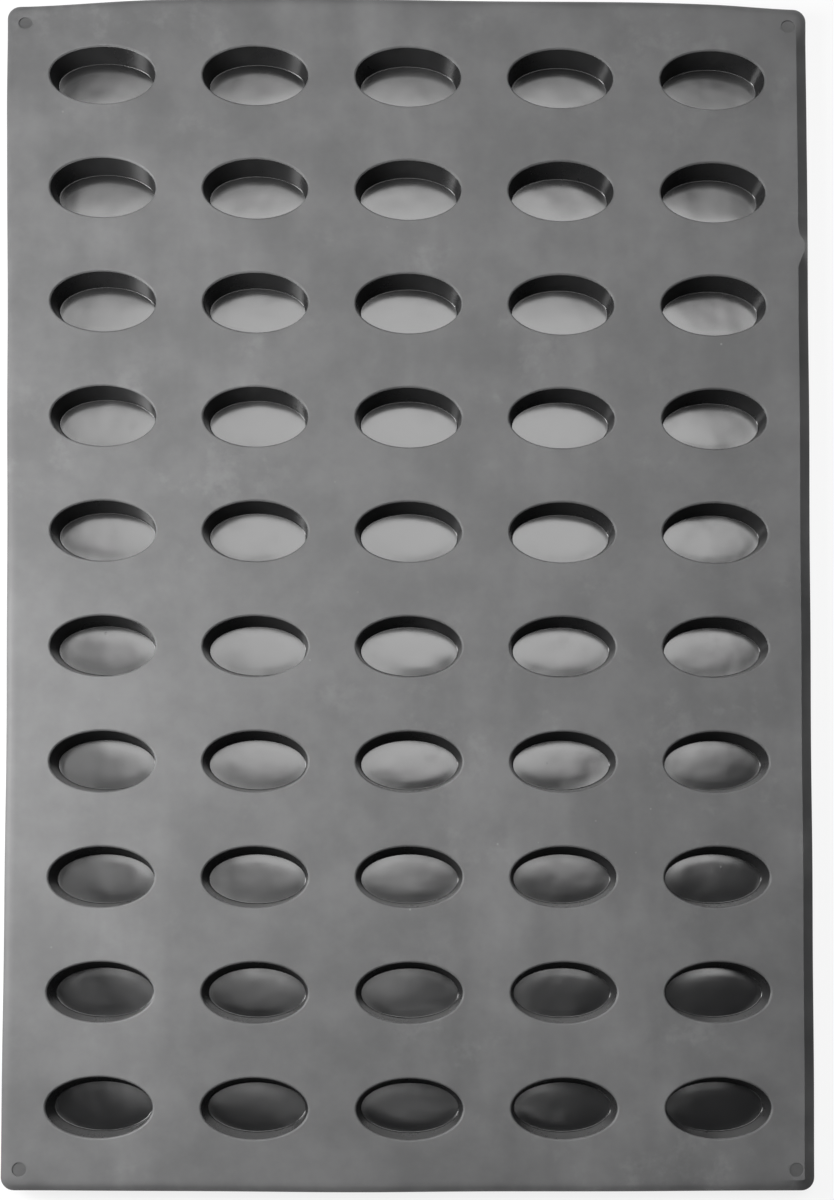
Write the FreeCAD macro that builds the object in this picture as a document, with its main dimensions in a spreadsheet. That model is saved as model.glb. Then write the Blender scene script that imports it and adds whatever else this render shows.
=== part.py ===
"""Oval silicone baking mould: a flexible sheet with fifty oval cups, moulded in one piece.

Frame: +Z up, +X across the sheet and along each cup, +Y along the sheet.
Origin: the middle of the plane that the undersides of the cups stand on.
"""
import FreeCAD, Part
import Sketcher
import math
import os
from enum import IntEnum

PARTS_FOLDER = "parts"
MOULD = "oval_baking_mould"

# Driving sizes in millimetres, and the numbers of cups
DRIVING = {
    "cup_columns": 5,
    "cup_rows": 10,
    "column_pitch": 76.0,
    "row_pitch": 57.0,
    "side_margin": 48.0,
    "end_margin": 41.0,
    "sheet_thickness": 2.5,
    "cup_length": 52.0,
    "cup_width": 30.0,
    "cup_end_radius": 10.0,
    "cup_depth": 12.0,
    "end_draft": 2.5,
    "side_draft": 2.7,
    "radius_draft": 1.8,
    "cup_wall": 2.0,
    "cup_floor": 2.0,
    "crease_radius": 1.0,
    "bevel_width": 5.5,
    "bevel_height": 2.5,
    "lip_height": 2.5,
    "rim_width": 7.0,
    "recess_corner_radius": 4.0,
    "mark_diameter": 7.0,
    "mark_depth": 0.4,
    "mark_from_side": 9.5,
    "mark_from_end": 10.5,
}

# Heights and outlines that follow from the driving sizes, each after the ones that it reads
FOLLOWING = {
    "top_height": "cup_floor + cup_depth",
    "underside_height": "top_height - sheet_thickness",
    "bevel_foot_height": "top_height - bevel_height",
    "rim_foot_height": "bevel_foot_height - lip_height",
    "columns_span": "(cup_columns - 1) * column_pitch",
    "rows_span": "(cup_rows - 1) * row_pitch",
    "sheet_width": "columns_span + 2 * side_margin",
    "sheet_length": "rows_span + 2 * end_margin",
    "sheet_corner_radius": "bevel_width + crease_radius",
    "recess_width": "sheet_width - 2 * rim_width",
    "recess_length": "sheet_length - 2 * rim_width",
    "end_slope": "end_draft / cup_depth",
    "side_slope": "side_draft / cup_depth",
    "radius_slope": "radius_draft / cup_depth",
}

# Each oval of a cup: how far it lies below the mouth, and the wall that it stands outside of
OVALS = {
    "mouth": ("0", "0"),
    "floor": ("cup_depth", "0"),
    "neck": ("sheet_thickness", "cup_wall"),
    "foot": ("top_height", "cup_wall"),
}


def oval_rules(name, below, wall):
    """The spreadsheet rules for the outline of a drafted cup at one depth."""
    length, width, end_radius = f"{name}_length", f"{name}_width", f"{name}_end_radius"
    return {
        f"{name}_height": f"top_height - {below}",
        length: f"cup_length + 2 * ({wall} - {below} * end_slope)",
        width: f"cup_width + 2 * ({wall} - {below} * side_slope)",
        end_radius: f"cup_end_radius + {wall} - {below} * radius_slope",
        f"{name}_side_radius": f"({length} ^ 2 + {width} ^ 2 - 4 * {length} * {end_radius})"
                               f" / (4 * ({width} - 2 * {end_radius}))",
    }


class Sizes:
    """The spreadsheet that holds every size of the mould."""

    def __init__(self, doc):
        self.doc = doc
        self.sheet = doc.addObject("Spreadsheet::Sheet", "Sizes")
        self.rows = 0
        for name, value in DRIVING.items():
            self._add(name, str(value))
        for name, rule in FOLLOWING.items():
            self._add(name, f"={rule}")
        for oval, (below, wall) in OVALS.items():
            for name, rule in oval_rules(oval, below, wall).items():
                self._add(name, f"={rule}")

    def _add(self, name, content):
        self.rows += 1
        self.sheet.set(f"A{self.rows}", name)
        self.sheet.set(f"B{self.rows}", content)
        self.sheet.setAlias(f"B{self.rows}", name)
        self.doc.recompute()

    def __getitem__(self, name):
        return float(getattr(self.sheet, name))


def origin_feature(body, role):
    """The plane or axis of the body's own origin that has this role."""
    for feature in body.Origin.OriginFeatures:
        if feature.Role == role:
            return feature
    raise LookupError(f"{body.Label} has no origin feature {role}")


def level_sketch(body, name, height):
    """A sketch parallel to the ground plane, at a height from the spreadsheet."""
    sketch = body.newObject("Sketcher::SketchObject", name)
    sketch.AttachmentSupport = [(origin_feature(body, "XY_Plane"), "")]
    sketch.MapMode = "FlatFace"
    sketch.setExpression(".AttachmentOffset.Base.z", f"Sizes.{height}")
    return sketch


def bind(sketch, kind, *places, rule, value):
    """Add one dimension to a sketch and bind it to a rule."""
    index = sketch.addConstraint(Sketcher.Constraint(kind, *places, value))
    sketch.renameConstraint(index, f"size_{index}")
    sketch.setExpression(f"Constraints.size_{index}", rule)


UP = FreeCAD.Vector(0, 0, 1)


class Place(IntEnum):
    """The places on an arc or a line that a constraint can name."""

    START = 1
    END = 2
    CENTRE = 3


class Axis(IntEnum):
    """The sketch's own axes, which both start at its origin."""

    X = -1
    Y = -2


def oval_sketch(body, sizes, oval):
    """A four-centred oval at the first cup's place, with the two small arcs at its ends."""
    sketch = level_sketch(body, f"{oval}_outline", f"{oval}_height")
    sketch.setExpression(".AttachmentOffset.Base.x", "-Sizes.columns_span / 2")
    sketch.setExpression(".AttachmentOffset.Base.y", "-Sizes.rows_span / 2")
    end_radius = sizes[f"{oval}_end_radius"]
    side_radius = sizes[f"{oval}_side_radius"]
    end_centre = sizes[f"{oval}_length"] / 2 - end_radius
    side_centre = side_radius - sizes[f"{oval}_width"] / 2
    turn = math.atan2(side_centre, end_centre)

    def arc(x, y, radius, first, last):
        return Part.ArcOfCircle(Part.Circle(FreeCAD.Vector(x, y, 0), UP, radius), first, last)

    right, back, left, front = sketch.addGeometry([
        arc(end_centre, 0, end_radius, -turn, turn),
        arc(0, -side_centre, side_radius, turn, math.pi - turn),
        arc(-end_centre, 0, end_radius, math.pi - turn, math.pi + turn),
        arc(0, side_centre, side_radius, math.pi + turn, 2 * math.pi - turn),
    ], False)
    sketch.addConstraint([
        Sketcher.Constraint("Tangent", right, Place.END, back, Place.START),
        Sketcher.Constraint("Tangent", back, Place.END, left, Place.START),
        Sketcher.Constraint("Tangent", left, Place.END, front, Place.START),
        Sketcher.Constraint("Tangent", front, Place.END, right, Place.START),
        Sketcher.Constraint("PointOnObject", right, Place.CENTRE, Axis.X),
        Sketcher.Constraint("PointOnObject", left, Place.CENTRE, Axis.X),
        Sketcher.Constraint("PointOnObject", back, Place.CENTRE, Axis.Y),
        Sketcher.Constraint("Equal", right, left),
        Sketcher.Constraint("Equal", back, front),
    ])
    bind(sketch, "Radius", right, rule=f"Sizes.{oval}_end_radius", value=end_radius)
    bind(sketch, "Radius", back, rule=f"Sizes.{oval}_side_radius", value=side_radius)
    bind(sketch, "DistanceX", left, Place.CENTRE, right, Place.CENTRE, value=2 * end_centre,
         rule=f"Sizes.{oval}_length - 2 * Sizes.{oval}_end_radius")
    return sketch


def rounded_rectangle_sketch(body, sizes, name, height, width, length, radius):
    """A rectangle about the origin with four equal round corners."""
    sketch = level_sketch(body, name, height)
    across, along, round_off = sizes[width] / 2, sizes[length] / 2, sizes[radius]
    inner_x, inner_y = across - round_off, along - round_off
    corners = [(inner_x, inner_y), (-inner_x, inner_y), (-inner_x, -inner_y), (inner_x, -inner_y)]
    arcs = [
        Part.ArcOfCircle(Part.Circle(FreeCAD.Vector(x, y, 0), UP, round_off),
                         quarter * math.pi / 2, (quarter + 1) * math.pi / 2)
        for quarter, (x, y) in enumerate(corners)
    ]
    sides = [Part.LineSegment(arcs[quarter].EndPoint, arcs[(quarter + 1) % 4].StartPoint)
             for quarter in range(4)]
    arc_ids = sketch.addGeometry(arcs, False)
    side_ids = sketch.addGeometry(sides, False)
    for quarter in range(4):
        following = (quarter + 1) % 4
        sketch.addConstraint([
            Sketcher.Constraint("Tangent", arc_ids[quarter], Place.END, side_ids[quarter], Place.START),
            Sketcher.Constraint("Tangent", side_ids[quarter], Place.END,
                                arc_ids[following], Place.START),
            Sketcher.Constraint("Horizontal" if quarter % 2 == 0 else "Vertical", side_ids[quarter]),
        ])
    sketch.addConstraint([Sketcher.Constraint("Equal", arc_ids[0], corner) for corner in arc_ids[1:]])
    sketch.addConstraint(Sketcher.Constraint(
        "Symmetric", arc_ids[0], Place.CENTRE, arc_ids[2], Place.CENTRE, Axis.X, Place.START))
    bind(sketch, "Radius", arc_ids[0], rule=f"Sizes.{radius}", value=round_off)
    bind(sketch, "DistanceX", arc_ids[1], Place.CENTRE, arc_ids[0], Place.CENTRE, value=2 * inner_x,
         rule=f"Sizes.{width} - 2 * Sizes.{radius}")
    bind(sketch, "DistanceY", arc_ids[3], Place.CENTRE, arc_ids[0], Place.CENTRE, value=2 * inner_y,
         rule=f"Sizes.{length} - 2 * Sizes.{radius}")
    return sketch


def add_sheet(body, sizes):
    """The flat sheet in its thick bevelled rim: a plate, its bevel, and the recess underneath."""
    outline = ("sheet_width", "sheet_length", "sheet_corner_radius")
    lip = body.newObject("PartDesign::Pad", "rim_lip")
    lip.Profile = rounded_rectangle_sketch(body, sizes, "lip_outline", "rim_foot_height", *outline)
    lip.setExpression("Length", "Sizes.lip_height")

    bevel = body.newObject("PartDesign::Pad", "rim_bevel")
    bevel.Profile = rounded_rectangle_sketch(body, sizes, "bevel_outline", "bevel_foot_height", *outline)
    bevel.setExpression("Length", "Sizes.bevel_height")
    bevel.setExpression("TaperAngle", "-atan(Sizes.bevel_width / Sizes.bevel_height)")

    recess = body.newObject("PartDesign::Pocket", "recess_under_sheet")
    inside = ("recess_width", "recess_length", "recess_corner_radius")
    recess.Profile = rounded_rectangle_sketch(body, sizes, "recess_outline", "rim_foot_height", *inside)
    recess.Reversed = True
    recess.setExpression("Length", "Sizes.underside_height - Sizes.rim_foot_height")


def add_cups(body, sizes):
    """One drafted cup hanging from the sheet, and its copies in columns and rows."""
    shell = body.newObject("PartDesign::AdditiveLoft", "cup_shell")
    shell.Profile = oval_sketch(body, sizes, "neck")
    shell.Sections = [oval_sketch(body, sizes, "foot")]
    shell.Ruled = True

    cavity = body.newObject("PartDesign::SubtractiveLoft", "cup_cavity")
    cavity.Profile = oval_sketch(body, sizes, "mouth")
    cavity.Sections = [oval_sketch(body, sizes, "floor")]
    cavity.Ruled = True

    cups = body.newObject("PartDesign::MultiTransform", "cups")
    cups.Originals = [shell, cavity]
    directions = []
    for name, axis in (("columns", "X_Axis"), ("rows", "Y_Axis")):
        line = body.newObject("PartDesign::LinearPattern", f"cup_{name}_pattern")
        line.Direction = (origin_feature(body, axis), [""])
        line.setExpression("Length", f"Sizes.{name}_span")
        line.setExpression("Occurrences", f"Sizes.cup_{name}")
        directions.append(line)
    cups.Transformations = directions
    body.Tip = cups


def add_corner_marks(body, sizes):
    """A shallow round recess in the top at each corner."""
    sketch = level_sketch(body, "mark_circles", "top_height")
    x = sizes["sheet_width"] / 2 - sizes["mark_from_side"]
    y = sizes["sheet_length"] / 2 - sizes["mark_from_end"]
    radius = sizes["mark_diameter"] / 2
    circles = [Part.Circle(FreeCAD.Vector(sx * x, sy * y, 0), UP, radius)
               for sx, sy in ((1, 1), (-1, 1), (-1, -1), (1, -1))]
    marks = sketch.addGeometry(circles, False)
    sketch.addConstraint([Sketcher.Constraint("Equal", marks[0], mark) for mark in marks[1:]])
    sketch.addConstraint([
        Sketcher.Constraint("Symmetric", marks[0], Place.CENTRE, marks[1], Place.CENTRE, Axis.Y),
        Sketcher.Constraint("Symmetric", marks[0], Place.CENTRE, marks[3], Place.CENTRE, Axis.X),
        Sketcher.Constraint("Symmetric", marks[1], Place.CENTRE, marks[2], Place.CENTRE, Axis.X),
    ])
    bind(sketch, "Diameter", marks[0], rule="Sizes.mark_diameter", value=2 * radius)
    bind(sketch, "DistanceX", Axis.X, Place.START, marks[0], Place.CENTRE, value=x,
         rule="Sizes.sheet_width / 2 - Sizes.mark_from_side")
    bind(sketch, "DistanceY", Axis.X, Place.START, marks[0], Place.CENTRE, value=y,
         rule="Sizes.sheet_length / 2 - Sizes.mark_from_end")
    recess = body.newObject("PartDesign::Pocket", "corner_marks")
    recess.Profile = sketch
    recess.setExpression("Length", "Sizes.mark_depth")


def make_mould(doc, sizes):
    """The whole mould as one body."""
    body = doc.addObject("PartDesign::Body", MOULD)
    body.Label = MOULD
    body.Placement = FreeCAD.Placement()
    add_sheet(body, sizes)
    add_cups(body, sizes)
    add_corner_marks(body, sizes)
    doc.recompute()
    return body


def check(doc, bodies):
    """Stop if an object failed to compute, a cut took nothing away or a sub-part has no valid shape."""
    for item in doc.Objects:
        if "Invalid" in item.State or "Error" in item.State:
            raise RuntimeError(f"{item.Label} did not compute: {item.State}")
        cuts = item.TypeId in ("PartDesign::Pocket", "PartDesign::SubtractiveLoft")
        if cuts and item.Shape.Volume >= item.BaseFeature.Shape.Volume:
            raise RuntimeError(f"{item.Label} cut nothing")
    for body in bodies:
        if body.Shape.isNull() or not body.Shape.isValid() or len(body.Shape.Solids) != 1:
            raise RuntimeError(f"{body.Label} is not one valid solid")


def main():
    doc = FreeCAD.newDocument("oval_mould")
    sizes = Sizes(doc)
    bodies = [make_mould(doc, sizes)]
    check(doc, bodies)
    os.makedirs(PARTS_FOLDER, exist_ok=True)
    for body in bodies:
        body.Shape.exportStep(f"{PARTS_FOLDER}/{body.Label}.step")


main()
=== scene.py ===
"""Oval silicone baking mould: a dark satin sheet with fifty polished oval cups, lit in a soft studio.

The sheet, its bevelled rim and its cups are one piece, as they are moulded. A cup is drawn once and
repeated over the sheet, the rim band closes it, and the whole is then laid down as the soft rubber lies.
"""

import logging
import math
from collections.abc import Iterable, Sequence
from dataclasses import dataclass, field
from enum import Enum

import bmesh
import bpy
import numpy as np
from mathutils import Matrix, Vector


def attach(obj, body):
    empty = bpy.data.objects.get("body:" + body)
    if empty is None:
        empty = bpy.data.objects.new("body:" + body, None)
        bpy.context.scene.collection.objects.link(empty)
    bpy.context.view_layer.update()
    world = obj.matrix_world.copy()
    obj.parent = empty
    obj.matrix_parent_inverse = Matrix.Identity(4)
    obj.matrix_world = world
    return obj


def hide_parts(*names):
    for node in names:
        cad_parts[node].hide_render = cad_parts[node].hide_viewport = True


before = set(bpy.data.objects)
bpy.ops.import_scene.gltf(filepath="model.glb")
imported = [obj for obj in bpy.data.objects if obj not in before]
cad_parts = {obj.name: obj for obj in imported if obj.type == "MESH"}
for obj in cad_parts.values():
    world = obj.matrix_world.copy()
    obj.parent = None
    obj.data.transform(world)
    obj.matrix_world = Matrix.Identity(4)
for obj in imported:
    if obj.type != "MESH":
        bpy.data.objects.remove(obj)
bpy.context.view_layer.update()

LOG = logging.getLogger("oval_mould")
NODE = "oval_baking_mould"
MM = 0.001
SAME_POINT = 1e-4 * MM
SAME_LEVEL = 1e-3 * MM
WHITE = (1.0, 1.0, 1.0, 1.0)

Point2 = tuple[float, float]
Point3 = tuple[float, float, float]


class PolishAndShade(Enum):
    """How bright, that is how polished, each zone of the mould comes out of its tool. The same value also
    darkens the zone's colour, which in the cups' walls, lips and floors is painted shade.
    """

    # The wall, lip and floor values darken the colour inside the cups as painted shade, besides making them
    # glossier.
    MATT = 0.0
    WALL = 0.8
    LIP = 0.85
    FLOOR = 1.0


@dataclass(frozen=True)
class Sheet:
    """The sizes that the mould's parts share, as in the CAD model."""

    half_width: float = 200 * MM
    half_length: float = 297.5 * MM
    top: float = 14 * MM
    thickness: float = 2.5 * MM
    columns: int = 5
    rows: int = 10
    column_pitch: float = 76 * MM
    row_pitch: float = 57 * MM

    @property
    def underside(self) -> float:
        """The height of the sheet's lower face."""
        return self.top - self.thickness

    @property
    def half_field(self) -> Point2:
        """Half the width and half the length of the field of cups."""
        return self.columns * self.column_pitch / 2, self.rows * self.row_pitch / 2


# Cross-sections and rings


def rounded(points: Sequence[Point2], radii: Sequence[float], steps: Sequence[int]) -> list[Point2]:
    """Round the corners of a polyline in a cross-section.

    Args:
        points: The polyline's corners, ends included.
        radii: A radius for each inner corner.
        steps: The number of short edges that each rounded corner gets.

    Returns:
        The polyline with an arc at each inner corner.
    """
    out = [points[0]]
    corners = zip(points, points[1:], points[2:])
    for (before, corner, after), radius, count in zip(corners, radii, steps):
        here = Vector(corner)
        way_in, way_out = (here - Vector(before)).normalized(), (Vector(after) - here).normalized()
        turn = way_in.angle(way_out)
        cut = radius * math.tan(turn / 2)
        side = 1.0 if way_in.cross(way_out) > 0 else -1.0
        normal = Vector((-way_in.y, way_in.x)) * side
        centre = here - way_in * cut + normal * radius
        for step in range(count + 1):
            angle = turn * step / count
            spoke = -normal * math.cos(angle) + way_in * math.sin(angle)
            out.append(tuple(centre + spoke * radius))
    out.append(points[-1])
    return out


def once_round(steps: int) -> list[float]:
    """Equal angles once round a circle, from 0."""
    return [math.tau * step / steps for step in range(steps)]


def evenly(start: Point2, end: Point2, steps: int, height: float) -> list[Point3]:
    """Points at equal distances along a straight line, from its start to just before its end.

    Args:
        start: The first point.
        end: The place that the points lead to.
        steps: The number of points.
        height: Their height.

    Returns:
        The points.
    """
    (x0, y0), (x1, y1) = start, end
    shares = [step / steps for step in range(steps)]
    return [(x0 + (x1 - x0) * share, y0 + (y1 - y0) * share, height) for share in shares]


def part_way(value: float, first: float, last: float) -> float:
    """How far a value is on the way from first to last, held between 0 and 1."""
    return min(max((value - first) / (last - first), 0.0), 1.0)


@dataclass
class RingMesh:
    """A mesh that is drawn as rings of points, each joined to the next by a strip of faces."""

    points: list[Point3] = field(default_factory=list)
    faces: list[list[int]] = field(default_factory=list)
    polish: list[float] = field(default_factory=list)

    def ring(self, points: Iterable[Point3], polish: PolishAndShade) -> list[int]:
        """Add one ring of points.

        Args:
            points: The ring's points in order; neighbours that coincide become one point.
            polish: The zone's polish, which also sets its painted shade.

        Returns:
            The points' numbers, with a number repeated where points coincide.
        """
        numbers: list[int] = []
        for point in points:
            if numbers and math.dist(self.points[numbers[-1]], point) < SAME_POINT:
                numbers.append(numbers[-1])
                continue
            self.points.append(tuple(point))
            self.polish.append(polish.value)
            numbers.append(len(self.points) - 1)
        return numbers

    def strip(self, outer: Sequence[int], inner: Sequence[int]) -> None:
        """Join two rings of equal count with faces that look up where inner lies inside outer.

        Args:
            outer: The numbers of the outer ring.
            inner: The numbers of the inner one.
        """
        count = len(outer)
        for here in range(count):
            there = (here + 1) % count
            corners = [outer[here], outer[there], inner[there], inner[here]]
            face = [number for place, number in enumerate(corners) if number != corners[place - 1]]
            if len(set(face)) > 2:
                self.faces.append(face)

    def close_in(self, rings: Sequence[Sequence[int]], middle: Point3, polish: PolishAndShade) -> None:
        """Join rings from the outermost inwards, and close the last one round a middle point.

        Args:
            rings: The rings, all of equal count.
            middle: The middle point.
            polish: The middle point's polish, which also sets its painted shade.
        """
        for outer, inner in zip(rings, rings[1:]):
            self.strip(outer, inner)
        centre = self.ring([middle], polish)[0]
        last = rings[-1]
        for here, number in enumerate(last):
            self.faces.append([number, last[(here + 1) % len(last)], centre])

    def turn_over(self, first: int) -> None:
        """Turn round the faces from this number on, for an underside."""
        for face in self.faces[first:]:
            face.reverse()

    def to_object(self, name: str) -> bpy.types.Object:
        """Make the mesh an object of the scene, with its polish, which also carries the painted shade of the
        cups, as an attribute of the points.

        Args:
            name: The object's name.

        Returns:
            The object.
        """
        mesh = bpy.data.meshes.new(name)
        mesh.from_pydata(self.points, [], self.faces)
        mesh.attributes.new("polish", "FLOAT", "POINT").data.foreach_set("value", self.polish)
        mesh.update()
        made = bpy.data.objects.new(name, mesh)
        bpy.context.scene.collection.objects.link(made)
        return made


# The cup


@dataclass(frozen=True)
class Oval:
    """The oval of a cup's mouth, or of any level below it."""

    length: float
    width: float
    end_turn: float = math.radians(33)

    def ring(self, out: float, height: float, end_steps: int, side_steps: int) -> list[Point3]:
        """Points round the oval, counter-clockwise from the start of its right-hand end.

        Args:
            out: How far the ring is moved outwards.
            height: The height of the ring above the ground.
            end_steps: Edges round each end.
            side_steps: Edges along each side.

        Returns:
            One point for each edge.
        """
        a, b, turn = self.length / 2, self.width / 2, self.end_turn
        arcs = (
            (-turn, turn, end_steps),
            (turn, math.pi - turn, side_steps),
            (math.pi - turn, math.pi + turn, end_steps),
            (math.pi + turn, math.tau - turn, side_steps),
        )
        points = []
        for first, last, steps in arcs:
            for step in range(steps):
                angle = first + (last - first) * step / steps
                x, y = a * math.cos(angle), b * math.sin(angle)
                normal = Vector((b * math.cos(angle), a * math.sin(angle))).normalized()
                points.append((x + out * normal.x, y + out * normal.y, height))
        return points


@dataclass(frozen=True)
class CupCell:
    """One cup with the piece of sheet round it, drawn about the cup's own middle.

    The shares say how far down the wall the lip's polish runs, where the flat has a ring between the
    cell's edge and the mouth, and where the floor has its rings.
    """

    sheet: Sheet = Sheet()
    depth: float = 12 * MM
    mouth: Oval = Oval(52.7 * MM, 30.3 * MM)
    end_draft: float = 2.0 * MM
    side_draft: float = 2.7 * MM
    wall: float = 2.0 * MM
    mouth_rounding: float = 1.1 * MM
    floor_rounding: float = 0.45 * MM
    neck_rounding: float = 0.8 * MM
    foot_rounding: float = 1.0 * MM
    level_run: float = 3 * MM
    end_steps: int = 14
    side_steps: int = 16
    mouth_steps: int = 5
    floor_steps: int = 4
    outer_steps: int = 3
    lip_share: float = 0.06
    flat_share: float = 0.55
    floor_shares: tuple[float, ...] = (0.8, 0.6, 0.4, 0.2)

    @property
    def mean_draft(self) -> float:
        """How far the wall leans in over the cup's depth, halfway between its ends and its sides."""
        return (self.end_draft + self.side_draft) / 2

    def outline(self, height: float) -> Oval:
        """The drafted outline at a height.

        Args:
            height: The height above the ground.

        Returns:
            The oval there.
        """
        share = (self.sheet.top - height) / self.depth
        length = self.mouth.length - 2 * self.end_draft * share
        width = self.mouth.width - 2 * self.side_draft * share
        return Oval(length, width)

    def _level(self, out: float, height: float) -> list[Point3]:
        """The points of a level, moved outwards from its drafted outline."""
        return self.outline(height).ring(out, height, self.end_steps, self.side_steps)

    def _ring_at(self, mesh: RingMesh, point: Point2, polish: PolishAndShade) -> list[int]:
        """A ring at one point of the cross-section, whose first number is measured from the mouth's edge.

        Args:
            mesh: The mesh that is being drawn.
            point: The distance outwards and the height.
            polish: The zone's polish, which also sets its painted shade.

        Returns:
            The ring's numbers.
        """
        out, height = point
        draft = self.mean_draft * (self.sheet.top - height) / self.depth
        return mesh.ring(self._level(out + draft, height), polish)

    def _edge(self, height: float) -> list[Point3]:
        """The rectangle that meets the neighbouring cells, in step with the oval's arcs.

        Args:
            height: The height of the rectangle.

        Returns:
            Its points.
        """
        x, y = self.sheet.column_pitch / 2, self.sheet.row_pitch / 2
        sides = (
            ((x, -y), (x, y), self.end_steps),
            ((x, y), (-x, y), self.side_steps),
            ((-x, y), (-x, -y), self.end_steps),
            ((-x, -y), (x, -y), self.side_steps),
        )
        return [point for start, end, steps in sides for point in evenly(start, end, steps, height)]

    def _halfway(self, mesh: RingMesh, edge: Sequence[int]) -> list[int]:
        """A ring on the flat between the cell's edge and the mouth.

        Args:
            mesh: The mesh that is being drawn.
            edge: The numbers of the cell's edge.

        Returns:
            The ring's numbers.
        """
        inner = self._level(0.0, self.sheet.top)
        outer = [mesh.points[number] for number in edge]
        between = [
            tuple(a + (b - a) * self.flat_share for a, b in zip(one, other))
            for one, other in zip(outer, inner)
        ]
        return mesh.ring(between, PolishAndShade.MATT)

    def _inside(self, mesh: RingMesh) -> None:
        """The top of the sheet, the mouth, the wall and the floor.

        Args:
            mesh: The mesh that is being drawn.
        """
        top, draft = self.sheet.top, self.mean_draft
        floor = top - self.depth
        section = rounded(
            [
                (self.level_run, top),
                (0.0, top),
                (-draft, floor),
                (-draft - self.level_run, floor),
            ],
            (self.mouth_rounding, self.floor_rounding), (self.mouth_steps, self.floor_steps))
        lip = self.mouth_steps + 1
        wall_top = [a + (b - a) * self.lip_share for a, b in zip(section[lip], section[lip + 1])]
        section.insert(lip + 1, tuple(wall_top))
        zones = [PolishAndShade.MATT] * lip + [PolishAndShade.LIP] + [PolishAndShade.WALL] * 2
        zones += [PolishAndShade.FLOOR] * (len(section) - len(zones))

        edge = mesh.ring(self._edge(top), PolishAndShade.MATT)
        rings = [edge, self._halfway(mesh, edge)]
        rings += [self._ring_at(mesh, point, zone) for point, zone in zip(section[1:], zones[1:])]
        level = self._level(-self.level_run, floor)
        for share in self.floor_shares:
            rings.append(mesh.ring([(x * share, y * share, floor) for x, y, _ in level], PolishAndShade.FLOOR))
        mesh.close_in(rings, (0.0, 0.0, floor), PolishAndShade.FLOOR)

    def _outside(self, mesh: RingMesh) -> None:
        """The underside of the sheet and the cup's outer shell.

        Args:
            mesh: The mesh that is being drawn.
        """
        first = len(mesh.faces)
        top, underside = self.sheet.top, self.sheet.underside
        slope = self.mean_draft / self.depth
        neck = self.wall - slope * (top - underside)
        foot = self.wall - slope * top
        section = rounded(
            [
                (neck + self.level_run, underside),
                (neck, underside),
                (foot, 0.0),
                (foot - self.level_run, 0.0),
            ],
            (self.neck_rounding, self.foot_rounding), (self.outer_steps, self.outer_steps))
        rings = [mesh.ring(self._edge(underside), PolishAndShade.MATT)]
        rings += [self._ring_at(mesh, point, PolishAndShade.MATT) for point in section[1:]]
        mesh.close_in(rings, (0.0, 0.0, 0.0), PolishAndShade.MATT)
        mesh.turn_over(first)

    def build(self) -> bpy.types.Object:
        """Draw the cell.

        Returns:
            A helper object, which is removed once the sheet is made.
        """
        mesh = RingMesh()
        self._inside(mesh)
        self._outside(mesh)
        return mesh.to_object("cup_cell")


# The rim


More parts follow.
